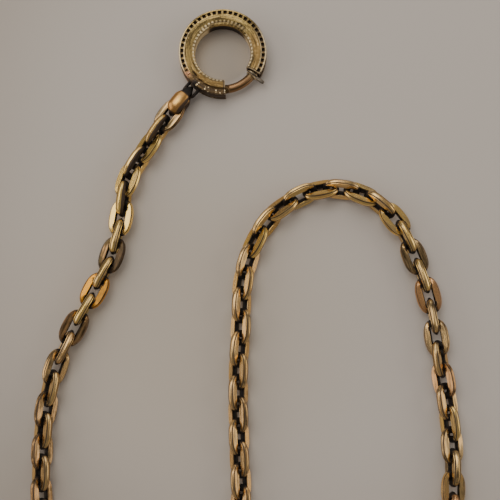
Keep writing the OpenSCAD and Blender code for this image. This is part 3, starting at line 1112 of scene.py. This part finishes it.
def coppery_bolt():
    """The bolt's metal: coppery brown with darker lines, greyish on its collar and thumb piece,
    with painted highlights on their rings and edges.
    """
    f = Finish("coppery_bolt")
    grain, grime, grey = f.attribute("grain", "Vector"), f.attribute("grime"), f.attribute("grey")
    streak = f.strokes(grain, BOLT_STREAKS)
    fine = f.noise(grain, 4000.0)
    body = f.mix(f.range(streak, 0.38, 0.62) * 0.8, BOLT_BROWN, DARK_OLIVE)
    # Darker between the ribs, with painted shade near the case
    body = f.mix(grime, body, OLIVE)
    body = f.mix(f.range(grime, 0.6, 1.0) * 0.85, body, DARK_OLIVE)
    body = f.mix(grey, body, f.mix(f.range(fine, 0.4, 0.75), STEEL, DARK_STEEL))
    # Painted highlights on the collar's rings and the thumb piece's edges
    body = f.mix(f.attribute("pale"), body, PALE_BRASS)
    return f.shade(
        Base_Color=body,
        Metallic=1.0,
        Roughness=(0.34 + fine * 0.2).held(),
        Normal=f.bump(streak, COARSE_CUT, 0.8),
    )


def black_eye():
    """The eye: almost black, with brown patches."""
    f = Finish("tarnished_eye")
    cloud = f.noise(f.place(), 900.0)
    return f.shade(
        Base_Color=f.mix(f.range(cloud, 0.45, 0.8), BLACK, BROWN),
        Metallic=0.6,
        Roughness=(0.4 + cloud * 0.2).held(),
    )


def plain_gold():
    """The bar's gold: smooth, browner in patches, with fine lines, and painted shade in its
    corners.
    """
    f = Finish("bar_gold")
    place, grime = f.place(), f.attribute("grime")
    cloud = f.noise(place, 260.0, 4.0)
    fine = f.strokes(place, BAR_LINES)
    body = f.mix(f.range(cloud + fine * 0.5, 0.62, 0.98), SOFT_GOLD, GOLD)
    body = f.mix(f.range(cloud * 0.6 + fine * 0.7, 0.74, 1.0) * 0.7, body, OLIVE)
    # Painted shade in the corners turns it brown and less metallic
    darkened = f.range(grime + cloud * 0.4, 0.4, 0.9)
    body = f.mix(darkened, body, BROWN)
    return f.shade(
        Base_Color=body,
        Metallic=1.0 - 0.4 * darkened,
        Roughness=(0.2 + fine * 0.16 + darkened * 0.3).held(),
        Normal=f.bump(fine, FINE_CUT, 0.5),
    )


def sheet_paper():
    """The sheet: pale, with painted shade away from the chain and at its left, and the ring's
    painted shadow inside the ring.
    """
    f = Finish("sheet_paper")
    place = f.place()
    # Painted light near the chain fading to painted shade, painted shade at the left, and the
    # ring's painted shadow inside it
    away = f.distance(place, CHAIN_PLACE) + f.noise(place, 14.0, 2.0) * 0.012
    paper = f.mix(f.range(away, *CHAIN_REACH), PAPER, FAR_SHADE_PAPER)
    from_left = f.distance(place, LEFT_PLACE)
    paper = f.mix(f.range(from_left, *LEFT_REACH), paper, LEFT_SHADE_PAPER)
    from_ring = f.distance(place, (RING_MIDDLE[0], RING_MIDDLE[1], 0.0))
    paper = f.mix(f.range(from_ring, *RING_REACH) * 0.8, paper, RING_SHADOW_PAPER)
    return f.shade(Base_Color=paper, Roughness=0.85)


# The parts


gold = filed_gold()
chain_length("links_ring_side", "chain_ring_side", RING_MIDDLE, 1, 1, gold)
chain_length("links_bar_side", "chain_bar_side", BAR_MIDDLE, 70, -1, gold)

*surface, marks = case_skin()
piece("milled_case", surface, "chain", "ring_case", case_brass(), marks)
piece("case_eye", eye_loop(), "chain", None, black_eye())

bolt_metal = coppery_bolt()
*surface, marks = bolt_wire()
piece("spring_bolt", surface, "bolt", "ring_bolt", bolt_metal, marks)
*surface, marks = thumb_slab()
piece("thumb_piece", surface, "bolt", "ring_bolt", bolt_metal, marks)

*surface, marks = turned_bar()
piece("buttonhole_bar", surface, "chain", "t_bar", plain_gold(), marks)


# Floor, light and camera


SHEET_HALF = 3.0

LIGHT_DISTANCE = 0.60
# Each light's name, the direction it comes from, its size, glow and colour
LIGHTS = [
    ("overhead_box", (-0.34, 0.40, 1.0), 0.42, 1.8, (1.0, 0.97, 0.92)),
    ("right_box", (1.0, 0.1, 0.38), 0.46, 1.1, (1.0, 0.95, 0.86)),
    ("left_box", (-1.0, -0.05, 0.36), 0.46, 1.25, (1.0, 0.93, 0.86)),
    ("far_box", (0.1, 1.0, 0.75), 0.42, 0.9, (1.0, 0.98, 0.94)),
]
ROOM_COLOUR, ROOM_GLOW = (0.92, 0.88, 0.84, 1), 0.26

CAMERA_PLACE = (-4.4 * MM, -12.34 * MM, 176.28 * MM)
CAMERA_TILT = math.radians(7.0)
CAMERA_LENS, CAMERA_SENSOR, CAMERA_NEAR = 72.0, 36.0, 0.005


def floor():
    """A wide pale sheet under the chain."""
    half = SHEET_HALF
    corners = [(-half, -half, 0), (half, -half, 0), (half, half, 0), (-half, half, 0)]
    mesh = bpy.data.meshes.new("sheet")
    mesh.from_pydata(corners, [], [(0, 1, 2, 3)])
    mesh.materials.append(sheet_paper())
    thing = bpy.data.objects.new("sheet", mesh)
    bpy.context.scene.collection.objects.link(thing)


def soft_light(name, aim, size, glow, colour):
    """A square area light that looks at the origin, with a power that grows with its area."""
    lamp = bpy.data.lights.new(name, "AREA")
    lamp.shape = "SQUARE"
    lamp.size, lamp.energy, lamp.color = size, 4 * glow * size ** 2, colour
    thing = bpy.data.objects.new(name, lamp)
    bpy.context.scene.collection.objects.link(thing)
    aim = np.array(aim) / np.linalg.norm(aim)
    thing.location = aim * LIGHT_DISTANCE
    thing.rotation_euler = (math.acos(aim[2]), 0, math.atan2(-aim[1], -aim[0]) - math.pi / 2)


floor()
for light in LIGHTS:
    soft_light(*light)

world = bpy.data.worlds.new("room")
bpy.context.scene.world = world
world.use_nodes = True
background = world.node_tree.nodes["Background"]
background.inputs["Color"].default_value = ROOM_COLOUR
background.inputs["Strength"].default_value = ROOM_GLOW

camera = bpy.data.objects.new("camera", bpy.data.cameras.new("camera"))
bpy.context.scene.collection.objects.link(camera)
camera.data.sensor_width = CAMERA_SENSOR
camera.data.lens = CAMERA_LENS
camera.data.clip_start = CAMERA_NEAR
camera.location = CAMERA_PLACE
camera.rotation_euler = (CAMERA_TILT, 0, 0)
bpy.context.scene.camera = camera
